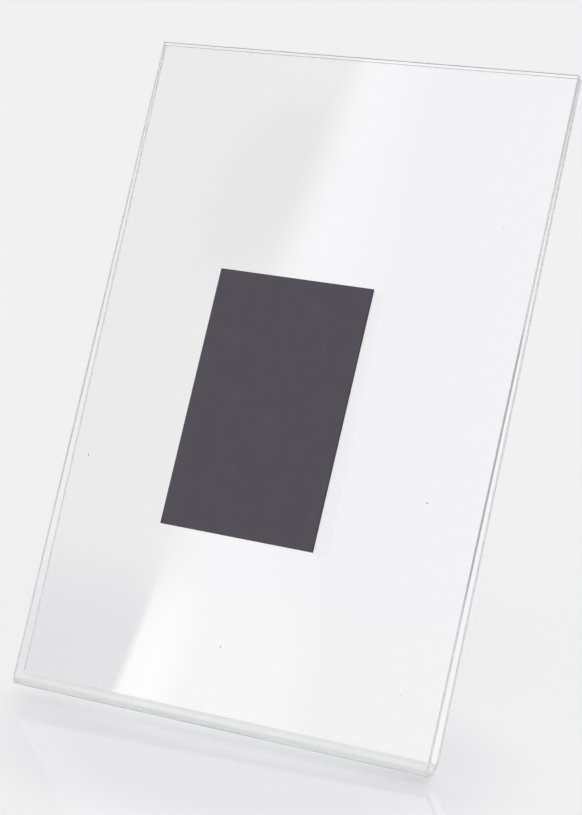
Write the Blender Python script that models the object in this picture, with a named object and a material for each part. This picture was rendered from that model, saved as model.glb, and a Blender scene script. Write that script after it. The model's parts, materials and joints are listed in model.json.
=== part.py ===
"""Magnetic photo frame: a clear plastic pocket for one 102 x 152 mm print, held up by a magnet sheet.

One clear sheet is folded at the bottom into a narrow U, which is tight under the back leaf and sweeps up
to the front one. The leaves stand apart at the fold and meet at the mouth, so that the front leaf grips a
print and springs open to let one in. A flexible magnet sheet is stuck to the back leaf with a film.

The frame stands upright: X runs across it, Z up, and its front faces -Y. The origin is the centre of the
magnet's outer face, which lies in the plane Y = 0, against whatever the frame hangs on. Lengths are in metres.
"""

import math

import bmesh
import bpy
from mathutils import Matrix, Vector

# The folded sheet
POCKET_WIDTH = 0.108
POCKET_HEIGHT = 0.155
FOLD_DEPTH = 0.0051
SHEET_THICKNESS = 0.00115
BACK_BEND_INNER_RADIUS = 0.00025

# The front leaf ends this far below the back one
MOUTH_STEP = 0.0005

# The magnet sheet and the film that sticks it to the back leaf
MAGNET_WIDTH = 0.040
MAGNET_HEIGHT = 0.060
MAGNET_THICKNESS = 0.0005
FILM_THICKNESS = 0.0001

# Where the magnet was stuck: its centre from the pocket's, towards +X and down, and its turn about Y
MAGNET_ASIDE = 0.0039
MAGNET_BELOW = 0.0052
MAGNET_TURN = math.radians(-0.5)

# Clearances: where the leaves meet at the mouth, between the rigid lengths of the one sheet, and on both
# faces of the film, which is thinner than a gap
MOUTH_CLEARANCE = 0.00005
SHEET_GAP = 0.0003
FILM_CLEARANCE = 0.00002

HALF_BEND_STEPS = 16

BACK_BEND_RADIUS = BACK_BEND_INNER_RADIUS + SHEET_THICKNESS
FRONT_BEND_RADIUS = FOLD_DEPTH - BACK_BEND_RADIUS
FRONT_BEND_INNER_RADIUS = FRONT_BEND_RADIUS - SHEET_THICKNESS

BACK_FACE_Y = -(MAGNET_THICKNESS + FILM_THICKNESS + 2 * FILM_CLEARANCE)
POCKET_CENTRE_X = -MAGNET_ASIDE
TOP_Z = MAGNET_BELOW + POCKET_HEIGHT / 2
BOTTOM_Z = MAGNET_BELOW - POCKET_HEIGHT / 2

# The centre line of the tight bend, which the front of the pocket turns about when it flexes open, and how
# far above it the centre line of the wide bend lies
FOLD_LINE = Vector((POCKET_CENTRE_X, BACK_FACE_Y - BACK_BEND_RADIUS, BOTTOM_Z + BACK_BEND_RADIUS))
WIDE_BEND_RISE = FRONT_BEND_RADIUS - BACK_BEND_RADIUS
LEAF_RISE = TOP_Z - FOLD_LINE.z - WIDE_BEND_RISE


def front_leaf_lean():
    """The angle at which the front leaf leaves the bend so that its inner face meets the back leaf's.

    With the wide bend's centre at the origin, the inner face is a line at that bend's inner radius from it on
    the front side, and at the height LEAF_RISE it has to reach the back leaf's inner face, less the mouth's
    clearance.
    """
    reach = BACK_BEND_INNER_RADIUS - MOUTH_CLEARANCE
    return math.asin(FRONT_BEND_INNER_RADIUS / math.hypot(LEAF_RISE, reach)) + math.atan2(reach, LEAF_RISE)


def clear_scene():
    for item in list(bpy.data.objects):
        bpy.data.objects.remove(item)


def finish_material(name, colour, roughness, transmission=0.0, refraction=1.5):
    """A Principled material of one plain colour, given as linear red, green and blue."""
    material = bpy.data.materials.new(name)
    material.use_nodes = True
    shader = material.node_tree.nodes["Principled BSDF"]
    shader.inputs["Base Color"].default_value = (*colour, 1.0)
    shader.inputs["Roughness"].default_value = roughness
    shader.inputs["Metallic"].default_value = 0.0
    shader.inputs["Transmission Weight"].default_value = transmission
    shader.inputs["IOR"].default_value = refraction
    material.diffuse_color = (*colour, 1.0)
    material.roughness = roughness
    return material


def clear_plastic(name):
    return finish_material(name, (0.93, 0.95, 0.95), 0.03, transmission=1.0, refraction=1.49)


def flexible_magnet(name):
    return finish_material(name, (0.087, 0.080, 0.098), 0.55)


def adhesive(name):
    return finish_material(name, (0.60, 0.58, 0.52), 0.40)


def place(name, mesh, material, location, rotation=(0.0, 0.0, 0.0)):
    """Puts a finished bmesh into the scene as the named object."""
    bmesh.ops.recalc_face_normals(mesh, faces=mesh.faces[:])
    data = bpy.data.meshes.new(name)
    mesh.to_mesh(data)
    mesh.free()
    data.materials.append(material)
    item = bpy.data.objects.new(name, data)
    item.location = location
    item.rotation_euler = rotation
    bpy.context.scene.collection.objects.link(item)
    return item


def block(low, high):
    """A bmesh cuboid between two corners."""
    low = Vector(low)
    high = Vector(high)
    mesh = bmesh.new()
    size = Matrix.Diagonal((*(high - low), 1.0))
    bmesh.ops.create_cube(mesh, size=1.0, matrix=Matrix.Translation((low + high) / 2) @ size)
    return mesh


def back_leaf():
    """The flat leaf behind the print. Its origin is on the fold line, where its bottom edge is."""
    mesh = block(
        (-POCKET_WIDTH / 2, BACK_BEND_INNER_RADIUS, SHEET_GAP),
        (POCKET_WIDTH / 2, BACK_BEND_RADIUS, TOP_Z - FOLD_LINE.z),
    )
    place("back_leaf", mesh, clear_plastic("back_leaf_clear_plastic"), FOLD_LINE)


def fold_half(name, rise, outer_radius, start, end):
    """Half of the bend: the sheet's cross-section, swept between two angles about a line above the fold line.

    The angles are counted from the back leaf, round the bottom, to the front leaf.
    """
    mesh = bmesh.new()
    half = POCKET_WIDTH / 2
    inner_radius = outer_radius - SHEET_THICKNESS
    corners = [(-half, inner_radius), (half, inner_radius), (half, outer_radius), (-half, outer_radius)]
    turn = Matrix.Translation((0.0, 0.0, rise)) @ Matrix.Rotation(-start, 4, "X")
    section = mesh.faces.new([mesh.verts.new(turn @ Vector((x, y, 0.0))) for x, y in corners])
    bmesh.ops.spin(
        mesh,
        geom=[section, *section.edges, *section.verts],
        cent=(0.0, 0.0, rise),
        axis=(-1.0, 0.0, 0.0),
        angle=end - start,
        steps=HALF_BEND_STEPS,
    )
    item = place(name, mesh, clear_plastic(f"{name}_clear_plastic"), FOLD_LINE)
    item.data.shade_smooth()
    item.data.set_sharp_from_angle(angle=math.radians(30.0))


def bottom_fold(lean):
    """The bend in two halves, which meet at its lowest line and leave the print's slot open between them.

    The back half is tight and stays with the back leaf. The front half is wide and moves with the front leaf,
    and the gap between the two is wider than that movement at the lowest line.
    """
    lowest = math.pi / 2
    fold_half("fold_back_half", 0.0, BACK_BEND_RADIUS, 0.0, lowest)
    start = lowest + SHEET_GAP / FRONT_BEND_INNER_RADIUS
    fold_half("fold_front_half", WIDE_BEND_RISE, FRONT_BEND_RADIUS, start, math.pi + lean)


def front_leaf(lean):
    """The flat leaf in front of the print. Its origin is on the fold line, which it turns about."""
    length = (LEAF_RISE - FRONT_BEND_RADIUS * math.sin(lean)) / math.cos(lean) - MOUTH_STEP
    mesh = block(
        (-POCKET_WIDTH / 2, -FRONT_BEND_RADIUS, SHEET_GAP),
        (POCKET_WIDTH / 2, -FRONT_BEND_INNER_RADIUS, length),
    )
    bmesh.ops.rotate(mesh, verts=mesh.verts, cent=(0.0, 0.0, 0.0), matrix=Matrix.Rotation(-lean, 3, "X"))
    bmesh.ops.translate(mesh, verts=mesh.verts, vec=(0.0, 0.0, WIDE_BEND_RISE))
    place("front_leaf", mesh, clear_plastic("front_leaf_clear_plastic"), FOLD_LINE)


def magnet_layer(name, material, outer_y, thickness):
    """A flat sheet of the magnet's outline, with its outer face at outer_y, turned as the magnet is."""
    mesh = block(
        (-MAGNET_WIDTH / 2, -thickness, -MAGNET_HEIGHT / 2),
        (MAGNET_WIDTH / 2, 0.0, MAGNET_HEIGHT / 2),
    )
    place(name, mesh, material, (0.0, outer_y, 0.0), (0.0, MAGNET_TURN, 0.0))


def build():
    clear_scene()
    lean = front_leaf_lean()
    back_leaf()
    bottom_fold(lean)
    front_leaf(lean)
    magnet_layer("magnet_sheet", flexible_magnet("magnet_sheet_rubber"), 0.0, MAGNET_THICKNESS)
    film_y = -(MAGNET_THICKNESS + FILM_CLEARANCE)
    magnet_layer("adhesive_film", adhesive("adhesive_film_acrylic"), film_y, FILM_THICKNESS)


build()
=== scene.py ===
"""A clear magnetic photo pocket, seen from the back, leaning over a pale floor in soft studio light.

Lengths are in metres. X runs across the pocket, Z up it, and its back, which carries the magnet, faces +Y.
"""

import json
import math

import bpy
import numpy as np
from mathutils import Matrix, Vector


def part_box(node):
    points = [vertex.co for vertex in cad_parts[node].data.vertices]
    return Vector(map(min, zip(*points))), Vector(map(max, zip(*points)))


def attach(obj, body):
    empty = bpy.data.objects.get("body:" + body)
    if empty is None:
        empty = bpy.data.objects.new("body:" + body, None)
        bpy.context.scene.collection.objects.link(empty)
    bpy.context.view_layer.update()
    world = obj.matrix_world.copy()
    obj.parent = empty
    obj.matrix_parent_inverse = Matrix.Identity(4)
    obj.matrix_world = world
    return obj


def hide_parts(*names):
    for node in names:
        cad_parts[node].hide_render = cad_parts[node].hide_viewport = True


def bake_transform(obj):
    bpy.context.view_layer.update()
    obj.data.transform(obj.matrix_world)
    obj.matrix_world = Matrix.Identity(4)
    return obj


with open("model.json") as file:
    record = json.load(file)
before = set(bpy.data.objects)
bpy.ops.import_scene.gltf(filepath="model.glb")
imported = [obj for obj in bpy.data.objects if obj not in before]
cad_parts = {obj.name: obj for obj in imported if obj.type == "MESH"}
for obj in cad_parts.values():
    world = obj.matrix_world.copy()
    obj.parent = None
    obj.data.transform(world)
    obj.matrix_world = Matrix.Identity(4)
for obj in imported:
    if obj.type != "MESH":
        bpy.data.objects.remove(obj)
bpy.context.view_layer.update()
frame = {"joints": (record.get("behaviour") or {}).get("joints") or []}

MM = 0.001

# The folded sheet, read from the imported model: its bend is tight under the back leaf and wide in front
LEAF_LOW, LEAF_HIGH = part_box("back_leaf")
FOLD_LINE = np.array(frame["joints"][0]["pos_m"])
THICKNESS = LEAF_HIGH.y - LEAF_LOW.y
TIGHT_RADIUS = LEAF_HIGH.y - FOLD_LINE[1]
WIDE_RADIUS = FOLD_LINE[1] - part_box("fold_front_half")[0].y
WIDE_BEND_RISE = WIDE_RADIUS - TIGHT_RADIUS
LEAF_RISE = LEAF_HIGH.z - FOLD_LINE[2] - WIDE_BEND_RISE
MOUTH_STEP = LEAF_HIGH.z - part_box("front_leaf")[1].z
MOUTH_CLEARANCE = 0.05 * MM

# How its edges and ends are rounded over, and how finely its bend is divided
EDGE_ROUND = 0.06 * MM
END_ROUND = 0.05 * MM
END_SWEEP = math.radians(75.0)
ROUND_STEPS = 3
BEND_STEP = math.radians(2.0)

# How near a face's crossing of the line between the leaves no station stands: the front leaf opens by up to
# 4 degrees, and the arc closes up there
CROSSING_ROOM = 0.6 * math.radians(4.0)

# Its bend is clear between the first two of these angles round it and past the third, and hazy elsewhere
CLEAR_START = math.radians(50.0)
CLEAR_END = math.radians(90.0)
HAZE_END = math.radians(164.0)

# The sheet's finishes, in the order of its material slots; a layer of the magnet has only the first two
FACE, EDGE, WETTED, END, BENT = range(5)

# The magnet and the adhesive under it
MAGNET_LOW, MAGNET_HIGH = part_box("magnet_sheet")
MAGNET_WIDTH = 40.0 * MM
MAGNET_HEIGHT = 60.0 * MM
MAGNET_TURN = math.radians(-0.5)
MAGNET_ROUND = 0.06 * MM
FILM_REST = 0.005 * MM

# The clear plastic, and the dust on its back: the spacing of the grains, the largest one's radius, the share
# of places without a grain, and the colour
CLEAR_HEX = "#FEFEFE"
CLEAR_IOR = 1.49
ABSORPTION_HEX = "#EFF0F0"
ABSORPTION_DENSITY = 3.0
DUST_SPACING = 22.0 * MM
DUST_RADIUS = 0.2 * MM
DUST_FREE = 0.49
DUST_HEX = "#9A9A9A"

# Where the photograph was taken from
CAMERA_PLACE = Vector((-0.31161, 0.52661, -0.07299))
CAMERA_AIM = Vector((-0.00607, -0.00064, 0.00090))
CAMERA_ROLL = math.radians(12.84)
CAMERA_LENS = 121.5
SENSOR_HEIGHT = 36.0

# The floor lies square to this direction, as the pocket leans back 27 degrees from upright
FLOOR_UP = Vector((math.sin(math.radians(1.05)), math.sin(math.radians(27.2)), 0.0))
FLOOR_UP.z = math.sqrt(1.0 - FLOOR_UP.x**2 - FLOOR_UP.y**2)
FLOOR_BELOW = 67.7 * MM
FLOOR_SIZE = 6.0

# Its colours, its polish, and where it turns from lit floor to backdrop, with the backdrop's least share
BACKDROP_HEX = "#F1F1F1"
FLOOR_HEX = "#EEEEEE"
FLOOR_ROUGHNESS = 0.07
FLOOR_IOR = 1.5
LIT_SPAN = (0.2, 0.6)
LEAST_BACKDROP = 0.3

# A faint lilac painted shade on the floor before the pocket, and a painted gleam for the light that the fold
# gathers under it, both drawn in the floor's colour: the colour, the centre and half size as (aside, behind),
# and the part of the way out where it starts to fade
PAINTED_SHADE_HEX = "#DBDAE0"
PAINTED_SHADE_PLACE = ((-12.0 * MM, -33.0 * MM), (76.0 * MM, 52.0 * MM))
PAINTED_SHADE_FADE = (0.5, 1.0)
PAINTED_GLEAM_HEX = "#EFEFF4"
PAINTED_GLEAM_PLACE = ((-8.0 * MM, -29.0 * MM), (66.0 * MM, 10.0 * MM))
PAINTED_GLEAM_FADE = (0.4, 1.0)

# The painted band of light that glows on the floor behind the pocket, with painted shade left of its edge:
# how far aside its edge crosses the foot of the origin, its slant, its strength, how far its colours reach
# from the edge, the colours close behind and far behind as (distance past the edge in mm, colour), and where
# behind the pocket the first turn into the others
PAINTED_BAND_EDGE = 42.9 * MM
PAINTED_BAND_SLANT = -0.4893
PAINTED_BAND_STRENGTH = 1.125
PAINTED_BAND_REACH = 100.0 * MM
PAINTED_BAND_NEAR = [
    (0.6, "#DDDCDF"),
    (3.0, "#F7F7F6"),
    (10.0, "#FAFAFA"),
    (19.0, "#F3F3F3"),
    (43.0, "#F2F2F2"),
    (54.0, "#EDEDED"),
]
PAINTED_BAND_FAR = [(-6.0, "#E6E6E6"), (7.0, "#F0F0F1"), (18.0, "#F3F2F4"), (52.0, "#EDEDEF")]
PAINTED_BAND_DEPTH = (5.0 * MM, 80.0 * MM)

# A slightly dimmer patch of painted shade beside the band's edge, half a metre behind the pocket, as (past
# the edge's foot, behind), and how much of the light it has
PAINTED_DIM_PLACE = ((-PAINTED_BAND_EDGE - 20.0 * MM, 520.0 * MM), (39.0 * MM, 260.0 * MM))
PAINTED_DIM_FADE = (0.23, 1.0)
PAINTED_DIM_SHARE = 0.95

# The dim room that draws the plastic's edges. Its tones meet where a ray strikes a wall one unit away, in
# front or behind: so far aside for a softbox, the wall beside it and a dark left side in front, and so high
# for a dark gap and the ceiling over it
NEAREST_WALL = 0.05
SOFTBOX_HEX = "#D8D8DA"
SOFTBOX_RIM = (0.30, 0.36)
WALL_HEX, FAR_WALL_HEX = "#CECED0", "#B2B2B4"
WALL_SPAN = (0.48, 0.69)
LEFT_HEX = "#38383A"
LEFT_SPAN = (-0.45, -0.2)
BACK_GAP_HEX, FRONT_GAP_HEX = "#747475", "#86868F"
GAP_RIM = (0.45, 0.65)
CEILING_COLOUR = (1.3, 1.3, 1.32, 1.0)
CEILING_RIM = (1.1, 1.3)

# The light that falls on surfaces: where most of it comes from, how it falls off round there, from the far
# side to the near one, and its strength on both
KEY_DIRECTION = Vector((-0.45, -0.25, 0.9)).normalized()
KEY_SPREAD = (-0.2, 1.0)
WEAK_LIGHT = (0.75, 0.75, 0.75, 1.0)
STRONG_LIGHT = (1.25, 1.25, 1.25, 1.0)

# Light runs a long way inside the sheet before it leaves at an edge
BOUNCES = 160
CLEAR_CROSSINGS = 16

# The colour sockets of a Mix node, which uses each name more than once
COLOUR_A, COLOUR_B, COLOUR_OUT = 6, 7, 2

# The depths of a light path count its bounces, and this stands between none and one
BOUNCED = 0.5


def linear(colour_hex):
    """Linear red, green, blue and alpha of an sRGB hex colour."""
    values = [int(colour_hex[i : i + 2], 16) / 255 for i in (1, 3, 5)]
    return (*[v / 12.92 if v <= 0.04045 else ((v + 0.055) / 1.055) ** 2.4 for v in values], 1.0)


def add(tree, kind, inputs=None, stops=(), **settings):
    """Adds a node with its settings, its inputs, each a value or a socket to link, and a ramp's stops."""
    node = tree.nodes.new(kind)
    for name, value in settings.items():
        setattr(node, name, value)
    for key, value in (inputs or {}).items():
        if isinstance(value, bpy.types.NodeSocket):
            tree.links.new(value, node.inputs[key])
        else:
            node.inputs[key].default_value = value
    for number, (place, colour_hex) in enumerate(stops):
        elements = node.color_ramp.elements
        element = elements[number] if number < 2 else elements.new(place)
        element.position = place
        element.color = linear(colour_hex)
    return node


def fade(tree, value, span, before, after):
    """A colour that turns smoothly from one into another while the value crosses the span."""
    start, end = span
    share = add(
        tree,
        "ShaderNodeMapRange",
        {"Value": value, "From Min": start, "From Max": end},
        interpolation_type="SMOOTHSTEP",
    ).outputs[0]
    mixed = add(tree, "ShaderNodeMix", {0: share, COLOUR_A: before, COLOUR_B: after}, data_type="RGBA")
    return mixed.outputs[COLOUR_OUT]


def way_out(tree, across, behind, place):
    """How far out of an ellipse on the floor a point lies: 0 at its centre and 1 on its rim."""
    centre, half_size = place
    point = add(tree, "ShaderNodeCombineXYZ", {0: across, 1: behind}).outputs[0]
    point = add(tree, "ShaderNodeVectorMath", {0: point, 1: (*centre, 0.0)}, operation="SUBTRACT").outputs[0]
    point = add(tree, "ShaderNodeVectorMath", {0: point, 1: (*half_size, 1.0)}, operation="DIVIDE").outputs[0]
    return add(tree, "ShaderNodeVectorMath", {0: point}, operation="LENGTH").outputs["Value"]


def new_material(name):
    """An empty node material and its output node."""
    material = bpy.data.materials.new(name)
    material.use_nodes = True
    material.node_tree.nodes.clear()
    return material, add(material.node_tree, "ShaderNodeOutputMaterial")


def clear_sheet(name, tint, roughness, clarity, relief_size, relief_depth, stretch):
    """Clear plastic with a fine relief, and a little absorption that turns long paths of light grey."""
    material, output = new_material(name)
    tree = material.node_tree
    place = add(tree, "ShaderNodeTexCoord").outputs["Object"]
    scaled = add(tree, "ShaderNodeMapping", {"Vector": place, "Scale": stretch}).outputs[0]
    relief = add(tree, "ShaderNodeTexNoise", {"Vector": scaled, "Scale": 1 / relief_size, "Detail": 2.0})
    bump = add(
        tree, "ShaderNodeBump", {"Height": relief.outputs["Fac"], "Distance": relief_depth, "Strength": 1.0}
    )
    shader = add(
        tree,
        "ShaderNodeBsdfPrincipled",
        {
            "Base Color": linear(tint),
            "Roughness": roughness,
            "IOR": CLEAR_IOR,
            "Transmission Weight": clarity,
            "Normal": bump.outputs[0],
        },
    )
    absorption = add(
        tree, "ShaderNodeVolumeAbsorption", {"Color": linear(ABSORPTION_HEX), "Density": ABSORPTION_DENSITY}
    )
    tree.links.new(shader.outputs[0], output.inputs["Surface"])
    tree.links.new(absorption.outputs[0], output.inputs["Volume"])
    return material


def polished_face():
    # Extruded clear sheet: glossy faces with the faint waviness that a roller leaves, some 25 mm long, and a
    # few grains of dust, up to 0.4 mm wide, on the back
    material = clear_sheet(
        "extruded_clear_sheet_face",
        CLEAR_HEX,
        roughness=0.0,
        clarity=1.0,
        relief_size=25.0 * MM,
        relief_depth=0.004 * MM,
        stretch=(1.0, 1.0, 0.6),
    )
    tree = material.node_tree
    shader = tree.nodes["Principled BSDF"]
    place = add(tree, "ShaderNodeTexCoord").outputs["Object"]
    flat = add(tree, "ShaderNodeMapping", {"Vector": place, "Rotation": (math.pi / 2, 0.0, 0.0)}).outputs[0]
    grains = add(
        tree, "ShaderNodeTexVoronoi", {"Vector": flat, "Scale": 1 / DUST_SPACING}, voronoi_dimensions="2D"
    )
    choice = add(tree, "ShaderNodeSeparateXYZ", {0: grains.outputs["Color"]}).outputs[0]
    radius = add(
        tree,
        "ShaderNodeMapRange",
        {"Value": choice, "From Min": DUST_FREE, "To Max": DUST_RADIUS / DUST_SPACING},
    ).outputs[0]
    grain = add(
        tree, "ShaderNodeMath", {0: grains.outputs["Distance"], 1: radius}, operation="LESS_THAN"
    ).outputs[0]
    depth = add(tree, "ShaderNodeSeparateXYZ", {0: place}).outputs["Y"]
    on_back = add(tree, "ShaderNodeMath", {0: depth, 1: -THICKNESS}, operation="GREATER_THAN").outputs[0]
    dust = add(tree, "ShaderNodeMath", {0: grain, 1: on_back}, operation="MULTIPLY").outputs[0]
    clarity = add(tree, "ShaderNodeMath", {0: 1.0, 1: dust}, operation="SUBTRACT").outputs[0]
    tone = add(
        tree,
        "ShaderNodeMix",
        {0: dust, COLOUR_A: linear(CLEAR_HEX), COLOUR_B: linear(DUST_HEX)},
        data_type="RGBA",
    ).outputs[COLOUR_OUT]
    tree.links.new(clarity, shader.inputs["Transmission Weight"])
    tree.links.new(tone, shader.inputs["Base Color"])
    return material


def heat_bent_face():
    # Heated and bent: where it stretched the face is slightly hazy, with fine ripples along it
    return clear_sheet(
        "heat_bent_clear_sheet",
        "#F6F6F6",
        roughness=0.2,
        clarity=0.36,
        relief_size=1.7 * MM,
        relief_depth=0.004 * MM,
        stretch=(0.4, 1.0, 1.0),
    )


def cut_edge():
    # Saw-cut and buffed edge: satin, with fine marks across the thickness, drawn 0.5 mm apart to show
    return clear_sheet(
        "buffed_saw_cut_edge",
        "#F5F5F5",
        roughness=0.3,
        clarity=0.6,
        relief_size=0.5 * MM,
        relief_depth=0.003 * MM,
        stretch=(0.2, 0.2, 1.0),
    )


def cut_end():
    # The sheet's two ends, cut across its length: duller than the sides, so that they scatter what they let
    # out, with the same marks across the thickness
    return clear_sheet(
        "saw_cut_end",
        "#FAFAFA",
        roughness=0.6,
        clarity=0.85,
        relief_size=0.5 * MM,
        relief_depth=0.003 * MM,
        stretch=(1.0, 0.2, 0.2),
    )


def clouded(name, dark_hex, light_hex, cloud_size, detail, roughness):
    """An opaque surface that is faintly clouded between two tones, over about the cloud size."""
    material, output = new_material(name)
    tree = material.node_tree
    place = add(tree, "ShaderNodeTexCoord").outputs["Object"]
    cloud = add(tree, "ShaderNodeTexNoise", {"Vector": place, "Scale": 1 / cloud_size, "Detail": detail})
    tone = add(
        tree,
        "ShaderNodeMix",
        {0: cloud.outputs["Fac"], COLOUR_A: linear(dark_hex), COLOUR_B: linear(light_hex)},
        data_type="RGBA",
    ).outputs[COLOUR_OUT]
    shader = add(tree, "ShaderNodeBsdfPrincipled", {"Base Color": tone, "Roughness": roughness})
    tree.links.new(shader.outputs[0], output.inputs["Surface"])
    return material


def wetted_face():
    # The face that the adhesive wets: light inside the sheet is taken up there by the dark rubber behind
    return clouded(
        "sheet_wetted_by_adhesive", "#3C3A40", "#4A474D", cloud_size=8.0 * MM, detail=3.0, roughness=0.6
    )


def magnet_rubber():
    # Flexible ferrite magnet: calendered rubber full of dark powder, matt, faintly clouded over 5 mm or so.
    # The powder's grain, far too fine to show, is drawn as a relief 0.25 mm coarse
    material = clouded(
        "calendered_ferrite_rubber", "#433F4A", "#4F4B55", cloud_size=5.5 * MM, detail=4.0, roughness=0.6
    )
    tree = material.node_tree
    place = tree.nodes["Texture Coordinate"].outputs["Object"]
    grain = add(tree, "ShaderNodeTexNoise", {"Vector": place, "Scale": 1 / (0.25 * MM), "Detail": 2.0})
    bump = add(
        tree, "ShaderNodeBump", {"Height": grain.outputs["Fac"], "Distance": 0.01 * MM, "Strength": 1.0}
    )
    tree.links.new(bump.outputs[0], tree.nodes["Principled BSDF"].inputs["Normal"])
    return material


def shaded_cut_rubber():
    # The magnet's knife-cut sides: darker than its calendered face, partly for their own torn grain, drawn
    # 0.33 mm coarse so that it shows, and partly as painted shade, since the sides face away from the light
    return clouded(
        "knife_cut_ferrite_rubber_painted_shade", "#28262C", "#3A373F", cloud_size=0.33 * MM, detail=2.0, roughness=0.8
    )


def acrylic_adhesive():
    # Pressure-sensitive acrylic adhesive: milky and slightly glossy where it shows at the magnet's rim
    return clouded(
        "acrylic_transfer_adhesive", "#8E8B88", "#A6A29C", cloud_size=1.1 * MM, detail=2.0, roughness=0.35
    )


def finished_piece(name, points, faces, materials, slots, smooth):
    """An object at the origin from an array of points and a list of faces with their material and shading."""
    data = bpy.data.meshes.new(name)
    data.from_pydata(points.tolist(), [], faces)
    for material in materials:
        data.materials.append(material)
    data.polygons.foreach_set("material_index", np.asarray(slots, np.int32))
    data.polygons.foreach_set("use_smooth", np.asarray(smooth, bool))
    data.update()
    item = bpy.data.objects.new(name, data)
    bpy.context.scene.collection.objects.link(item)
    return item


def capped_tube(name, rings, materials, slots, smooth, cap_slot):
    """A piece from rings of points, an array (ring, place, 3): each joined to the next, the end ones capped.

    The face at a place of a ring runs to the next place and the next ring. slots and smooth hold its material
    and shading, and cap_slot the caps' material.
    """
    count, places = rings.shape[:2]
    here = np.arange(count * places).reshape(count, places)
    beside = np.roll(here, -1, axis=1)
    sides = np.stack([here[:-1], here[1:], beside[1:], beside[:-1]], axis=-1).reshape(-1, 4)
    faces = [*sides.tolist(), here[0].tolist(), here[-1, ::-1].tolist()]
    slots = np.append(np.broadcast_to(slots, here[1:].shape), [cap_slot, cap_slot])
    smooth = np.append(np.broadcast_to(smooth, here[1:].shape), [False, False])
    return finished_piece(name, rings.reshape(-1, 3), faces, materials, slots, smooth)


def front_leaf_lean():
    """The angle between the leaves that makes the front one meet the back one at the mouth."""
    reach = TIGHT_RADIUS - THICKNESS - MOUTH_CLEARANCE
    return math.asin((WIDE_RADIUS - THICKNESS) / math.hypot(LEAF_RISE, reach)) + math.atan2(reach, LEAF_RISE)


def magnet_outline(y):
    """The corners of the magnet's turned outline at the depth y, in order from the one at +X and +Z."""
    x = np.array([1, -1, -1, 1]) * MAGNET_WIDTH / 2
    z = np.array([1, 1, -1, -1]) * MAGNET_HEIGHT / 2
    cos, sin = math.cos(MAGNET_TURN), math.sin(MAGNET_TURN)
    return np.stack([x * cos + z * sin, np.full(4, y), z * cos - x * sin], axis=1)


def sheet_section():
    """The sheet's cross-section as a closed ring: points (across, depth), the ways out, and the finishes.

    The ring is the points plus the rounding times the ways out: a quarter circle at each corner of a
    rectangle, and straight out at two places on each long side, where the columns beside the magnet run. The
    depth is counted from the inner face outwards. A finish is that of the strip after its point.
    """
    left, right = LEAF_LOW.x + EDGE_ROUND, LEAF_HIGH.x - EDGE_ROUND
    inner, outer = EDGE_ROUND, THICKNESS - EDGE_ROUND
    points, ways, finish = [], [], []
    for quarter, (x, depth) in enumerate([(right, outer), (left, outer), (left, inner), (right, inner)]):
        turn = np.linspace(quarter, quarter + 1, ROUND_STEPS + 1) * math.pi / 2
        points += [(x, depth)] * len(turn)
        ways += list(zip(np.cos(turn), np.sin(turn)))
        finish += [EDGE] * ROUND_STEPS
        if quarter % 2:
            finish.append(EDGE)
        else:
            side = 1 - quarter
            points += [(side * MAGNET_WIDTH / 2, depth), (-side * MAGNET_WIDTH / 2, depth)]
            ways += [(0.0, side)] * 2
            finish += [FACE] * 3
    return np.array(points), np.array(ways), np.array(finish)


def sheet_stations(lean):
    """Where the section stands along the sheet: rows of angle round the bend, height on a leaf and inset.

    No station lies where a face passes the line between the leaves, so that the arc has room to close up
    there when the front leaf opens.
    """
    inner_radius = TIGHT_RADIUS - THICKNESS
    passing = inner_radius - MOUTH_CLEARANCE / 2
    crossings = np.array([math.acos(passing / TIGHT_RADIUS), math.acos(passing / inner_radius)])
    rounding = np.linspace(0.0, END_SWEEP, ROUND_STEPS + 1)
    drop, inset = END_ROUND * (1 - np.sin(rounding)), END_ROUND * (1 - np.cos(rounding))
    top = LEAF_HIGH.z - FOLD_LINE[2]
    length = (LEAF_RISE - MOUTH_STEP - WIDE_RADIUS * math.sin(lean)) / math.cos(lean)
    back = [(0.0, top - d, i) for d, i in zip(drop[::-1], inset[::-1])]
    back += [(0.0, level * MAGNET_HEIGHT / 2 - FOLD_LINE[2], 0.0) for level in (1, -1)]
    turns = np.arange(0.0, math.pi + lean, BEND_STEP)
    clear = np.abs(turns[:, None] - crossings).min(axis=1) > CROSSING_ROOM
    bend = [(turn, 0.0, 0.0) for turn in turns[clear]]
    front = [(math.pi + lean, 0.0, 0.0)]
    front += [(math.pi + lean, length - d, i) for d, i in zip(drop, inset)]
    return np.array(back + bend + front)


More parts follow.
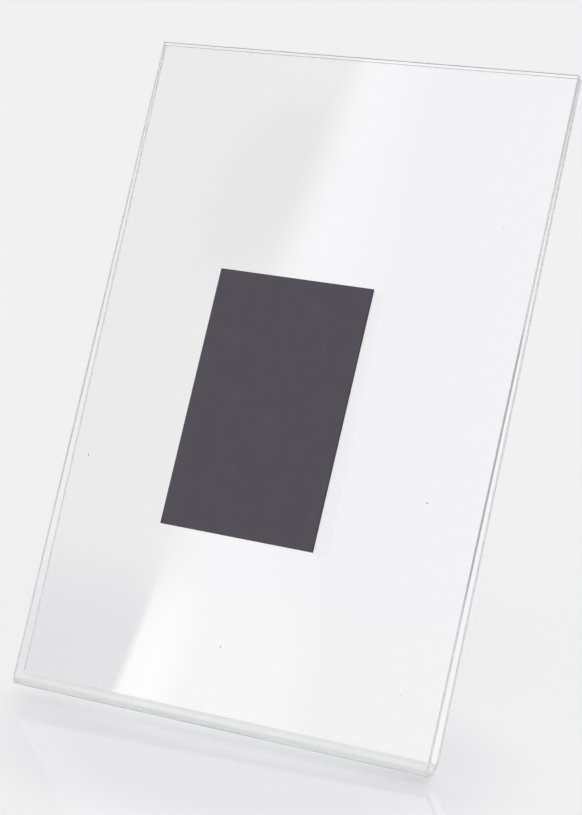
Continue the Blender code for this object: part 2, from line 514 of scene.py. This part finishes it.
def folded_sheet():
    """One clear sheet, folded into a narrow U.

    A section (across x, depth t) stands at each station (turn a, height h). A point is the centre of the
    tight bend, or past the lowest line that of the wide one above it, plus the inner radius and t along the
    direction (cos a, -sin a) in Y and Z, plus h along the leaf, which runs in the direction (-sin a, -cos a)
    in front and against it on the back.
    """
    turn, height, inset = sheet_stations(front_leaf_lean()).T[..., None]
    points, ways, finish = sheet_section()
    x, depth = np.moveaxis(points + (EDGE_ROUND - inset)[..., None] * ways, -1, 0)
    in_front = turn > math.pi / 2
    out = np.where(in_front, WIDE_RADIUS, TIGHT_RADIUS) - THICKNESS + depth
    rise = np.where(in_front, WIDE_BEND_RISE, 0.0)
    onward = np.where(in_front, height, -height)
    y = FOLD_LINE[1] + out * np.cos(turn) - onward * np.sin(turn)
    z = FOLD_LINE[2] + rise - out * np.sin(turn) - onward * np.cos(turn)
    rings = np.stack([x, y, z], axis=-1)

    # The magnet's corners take the places where the stations and the columns beside it cross
    ring = place = ROUND_STEPS + 1
    corners = magnet_outline(LEAF_HIGH.y)
    rings[ring, place : place + 2] = corners[[0, 1]]
    rings[ring + 1, place : place + 2] = corners[[3, 2]]

    start = turn[:-1]
    on_bend = (turn[1:] > 0.0) & (height[:-1] == 0.0) & (height[1:] == 0.0)
    clear = (start > CLEAR_START) & (start < CLEAR_END) | (start > HAZE_END)
    slots = np.where(on_bend & ~clear & (finish == FACE), BENT, finish)
    slots = np.where((inset[:-1] > 0.0) | (inset[1:] > 0.0), END, slots)
    slots[ring, place] = WETTED
    materials = [polished_face(), cut_edge(), wetted_face(), cut_end(), heat_bent_face()]
    return capped_tube("folded_clear_sheet", rings, materials, slots, smooth=on_bend, cap_slot=END)


def layer(name, materials, outer_y, inner_y, round_off):
    """A thin sheet of the magnet's outline with its rim rounded over, of a face's and a side's material.

    The outline stands square at inner_y and is carried outwards in rings. Each is drawn in by
    round_off (1 - sin b) at the depth outer_y - round_off (1 - cos b), as b falls from a quarter turn to 0.
    """
    sweep = np.linspace(math.pi / 2, 0.0, ROUND_STEPS + 1)
    depths = np.append(inner_y, outer_y - round_off * (1 - np.cos(sweep)))
    insets = np.append(0.0, round_off * (1 - np.sin(sweep)))
    half_size = np.array([MAGNET_WIDTH / 2, math.inf, MAGNET_HEIGHT / 2])
    rings = np.array([magnet_outline(y) * (1.0 - inset / half_size) for y, inset in zip(depths, insets)])
    return capped_tube(name, rings, materials, slots=EDGE, smooth=False, cap_slot=FACE)


def make_pocket():
    sheet = folded_sheet()
    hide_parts("back_leaf", "fold_back_half", "fold_front_half", "front_leaf")
    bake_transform(sheet)

    rubber = [magnet_rubber(), shaded_cut_rubber()]
    magnet = layer("flexible_magnet_sheet", rubber, MAGNET_HIGH.y, MAGNET_LOW.y, MAGNET_ROUND)
    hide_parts("magnet_sheet")
    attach(magnet, "pocket_back")

    film_outer, film_inner = MAGNET_LOW.y - FILM_REST, LEAF_HIGH.y + FILM_REST
    film = layer("adhesive_layer", [acrylic_adhesive()] * 2, film_outer, film_inner, FILM_REST)
    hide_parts("adhesive_film")
    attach(film, "pocket_back")


def make_floor():
    """A wide pale floor, seen only from above: lit near the pocket, and like the backdrop far off.

    Near the pocket its colour holds a painted shade and a painted gleam. Through the clear sheet it shows
    painted light, a band that glows behind the pocket, whose edge runs off at a slant, with painted shade to
    the left of it and a painted dimmer patch.
    """
    across = (Vector((1.0, 0.0, 0.0)) - FLOOR_UP * FLOOR_UP.x).normalized()
    along = FLOOR_UP.cross(across)
    ways = [across * s + along * l for s, l in ((-1, -1), (1, -1), (1, 1), (-1, 1))]
    corners = np.array([way * FLOOR_SIZE / 2 - FLOOR_UP * FLOOR_BELOW for way in ways])
    material, output = new_material("pale_floor")
    tree = material.node_tree
    place = add(tree, "ShaderNodeTexCoord").outputs["Object"]

    # How far a point lies from the origin, towards +X, past the band's edge towards -X, and behind the pocket
    distance = add(tree, "ShaderNodeVectorMath", {0: place}, operation="LENGTH").outputs["Value"]
    aside, past, behind = [
        add(tree, "ShaderNodeVectorMath", {0: place, 1: way}, operation="DOT_PRODUCT").outputs["Value"]
        for way in (across, along * PAINTED_BAND_SLANT - across, -along)
    ]

    # The floor as it is seen directly, with a painted shade and a painted gleam in its colour near the fold's
    # foot
    out_of_painted_shade = way_out(tree, aside, behind, PAINTED_SHADE_PLACE)
    tone = fade(tree, out_of_painted_shade, PAINTED_SHADE_FADE, linear(PAINTED_SHADE_HEX), linear(FLOOR_HEX))
    out_of_painted_gleam = way_out(tree, aside, behind, PAINTED_GLEAM_PLACE)
    tone = fade(tree, out_of_painted_gleam, PAINTED_GLEAM_FADE, linear(PAINTED_GLEAM_HEX), tone)
    lit = add(
        tree,
        "ShaderNodeBsdfPrincipled",
        {"Base Color": tone, "Roughness": FLOOR_ROUGHNESS, "IOR": FLOOR_IOR},
    )
    lit_start, lit_end = LIT_SPAN
    far = add(
        tree,
        "ShaderNodeMapRange",
        {"Value": distance, "From Min": lit_start, "From Max": lit_end, "To Min": LEAST_BACKDROP},
        interpolation_type="SMOOTHSTEP",
    ).outputs[0]
    # The backdrop's glow is there to be seen, so it isn't sampled as a lamp
    material.cycles.emission_sampling = "NONE"
    backdrop = add(tree, "ShaderNodeEmission", {"Color": linear(BACKDROP_HEX), "Strength": 1.0})
    plain = add(tree, "ShaderNodeMixShader", {0: far, 1: lit.outputs[0], 2: backdrop.outputs[0]})

    # The floor as it is seen through the sheet: painted light, a glowing band with painted dimmer shade in it
    over_painted_band = add(
        tree,
        "ShaderNodeMapRange",
        {"Value": past, "From Min": -PAINTED_BAND_EDGE - PAINTED_BAND_REACH, "From Max": -PAINTED_BAND_EDGE + PAINTED_BAND_REACH},
    ).outputs[0]
    near, far_off = [
        add(
            tree,
            "ShaderNodeValToRGB",
            {"Fac": over_painted_band},
            stops=[(0.5 + mm * MM / PAINTED_BAND_REACH / 2, colour_hex) for mm, colour_hex in colours],
        ).outputs["Color"]
        for colours in (PAINTED_BAND_NEAR, PAINTED_BAND_FAR)
    ]
    painted_band = fade(tree, behind, PAINTED_BAND_DEPTH, near, far_off)
    dim_start, dim_end = PAINTED_DIM_FADE
    painted_dimming = add(
        tree,
        "ShaderNodeMapRange",
        {
            "Value": way_out(tree, past, behind, PAINTED_DIM_PLACE),
            "From Min": dim_start,
            "From Max": dim_end,
            "To Min": PAINTED_DIM_SHARE,
        },
        interpolation_type="SMOOTHSTEP",
    ).outputs[0]
    painted_band = add(tree, "ShaderNodeVectorMath", {0: painted_band, "Scale": painted_dimming}, operation="SCALE").outputs["Vector"]
    # The band glows though no lamp is there: painted light
    painted_glow = add(tree, "ShaderNodeEmission", {"Color": painted_band, "Strength": PAINTED_BAND_STRENGTH})

    path = add(tree, "ShaderNodeLightPath")
    unreflected = add(
        tree, "ShaderNodeMath", {0: path.outputs["Glossy Depth"], 1: BOUNCED}, operation="LESS_THAN"
    ).outputs[0]
    through = add(
        tree, "ShaderNodeMath", {0: path.outputs["Is Transmission Ray"], 1: unreflected}, operation="MULTIPLY"
    ).outputs[0]
    seen = add(tree, "ShaderNodeMixShader", {0: through, 1: plain.outputs[0], 2: painted_glow.outputs[0]})
    below = add(tree, "ShaderNodeNewGeometry").outputs["Backfacing"]
    open_below = add(tree, "ShaderNodeBsdfTransparent")
    one_sided = add(tree, "ShaderNodeMixShader", {0: below, 1: seen.outputs[0], 2: open_below.outputs[0]})
    tree.links.new(one_sided.outputs[0], output.inputs["Surface"])
    floor = finished_piece("floor", corners, [(0, 1, 2, 3)], [material], [0], [False])


def make_world():
    """Soft light all round for the surfaces, and the pale backdrop for the camera, reflections and what the
    plastic shows. Light that the plastic itself turned back comes from a dimmer room, which draws its edges.
    """
    world = bpy.data.worlds.new("studio")
    bpy.context.scene.world = world
    world.use_nodes = True
    tree = world.node_tree
    tree.nodes.clear()
    output = add(tree, "ShaderNodeOutputWorld")
    direction = add(tree, "ShaderNodeTexCoord").outputs["Generated"]

    # How far aside and how high a ray meets a wall one unit away, in front or behind
    x, y, z = add(tree, "ShaderNodeSeparateXYZ", {0: direction}).outputs
    reach = add(tree, "ShaderNodeMath", {0: y}, operation="ABSOLUTE").outputs[0]
    reach = add(tree, "ShaderNodeMath", {0: reach, 1: NEAREST_WALL}, operation="MAXIMUM").outputs[0]
    across = add(tree, "ShaderNodeMath", {0: x, 1: reach}, operation="DIVIDE").outputs[0]
    aside = add(tree, "ShaderNodeMath", {0: across}, operation="ABSOLUTE").outputs[0]
    height = add(tree, "ShaderNodeMath", {0: z, 1: reach}, operation="DIVIDE").outputs[0]

    # The room, from the walls to the ceiling
    wall = fade(tree, across, WALL_SPAN, linear(WALL_HEX), linear(FAR_WALL_HEX))
    behind = fade(tree, aside, SOFTBOX_RIM, linear(SOFTBOX_HEX), wall)
    behind = fade(tree, height, GAP_RIM, behind, linear(BACK_GAP_HEX))
    front = fade(tree, across, LEFT_SPAN, linear(LEFT_HEX), linear(BACKDROP_HEX))
    front = fade(tree, height, GAP_RIM, front, linear(FRONT_GAP_HEX))
    in_front = add(tree, "ShaderNodeMath", {0: y, 1: 0.0}, operation="LESS_THAN").outputs[0]
    room = add(tree, "ShaderNodeMix", {0: in_front, COLOUR_A: behind, COLOUR_B: front}, data_type="RGBA")
    room = fade(tree, height, CEILING_RIM, room.outputs[COLOUR_OUT], CEILING_COLOUR)

    # Only rays that were both turned back and let through see the room, and the others see the backdrop
    path = add(tree, "ShaderNodeLightPath")
    turned = add(
        tree,
        "ShaderNodeMath",
        {0: path.outputs["Glossy Depth"], 1: path.outputs["Transmission Depth"]},
        operation="MINIMUM",
    ).outputs[0]
    turned = add(tree, "ShaderNodeMath", {0: turned, 1: BOUNCED}, operation="GREATER_THAN").outputs[0]
    seen = add(
        tree, "ShaderNodeMix", {0: turned, COLOUR_A: linear(BACKDROP_HEX), COLOUR_B: room}, data_type="RGBA"
    ).outputs[COLOUR_OUT]

    # Rays that leave a matt surface meet the light itself, and so do all that follow them
    by_view = path.outputs["Is Camera Ray"]
    for kind in ("Is Glossy Ray", "Is Transmission Ray"):
        inputs = {0: by_view, 1: path.outputs[kind]}
        by_view = add(tree, "ShaderNodeMath", inputs, operation="MAXIMUM").outputs[0]
    unscattered = add(
        tree, "ShaderNodeMath", {0: path.outputs["Diffuse Depth"], 1: BOUNCED}, operation="LESS_THAN"
    ).outputs[0]
    by_view = add(tree, "ShaderNodeMath", {0: by_view, 1: unscattered}, operation="MULTIPLY").outputs[0]
    facing = add(
        tree, "ShaderNodeVectorMath", {0: direction, 1: KEY_DIRECTION}, operation="DOT_PRODUCT"
    ).outputs["Value"]
    light = fade(tree, facing, KEY_SPREAD, WEAK_LIGHT, STRONG_LIGHT)
    tone = add(tree, "ShaderNodeMix", {0: by_view, COLOUR_A: light, COLOUR_B: seen}, data_type="RGBA")
    background = add(tree, "ShaderNodeBackground", {"Color": tone.outputs[COLOUR_OUT], "Strength": 1.0})
    tree.links.new(background.outputs[0], output.inputs["Surface"])


def make_camera():
    data = bpy.data.cameras.new("camera")
    data.sensor_fit = "VERTICAL"
    data.sensor_height = SENSOR_HEIGHT
    data.lens = CAMERA_LENS
    data.clip_start = 10.0 * MM
    camera = bpy.data.objects.new("camera", data)
    look = (CAMERA_AIM - CAMERA_PLACE).to_track_quat("-Z", "Y").to_matrix().to_4x4()
    camera.matrix_world = Matrix.Translation(CAMERA_PLACE) @ look @ Matrix.Rotation(CAMERA_ROLL, 4, "Z")
    bpy.context.scene.collection.objects.link(camera)
    bpy.context.scene.camera = camera


def make_render_choices():
    scene = bpy.context.scene
    scene.view_settings.view_transform = "Standard"
    scene.cycles.max_bounces = BOUNCES
    scene.cycles.transmission_bounces = BOUNCES
    scene.cycles.glossy_bounces = BOUNCES
    scene.cycles.transparent_max_bounces = CLEAR_CROSSINGS
    # Clear faces then let all the light through to the floor
    scene.cycles.blur_glossy = 0.0


make_camera()
make_world()
make_floor()
make_pocket()
make_render_choices()
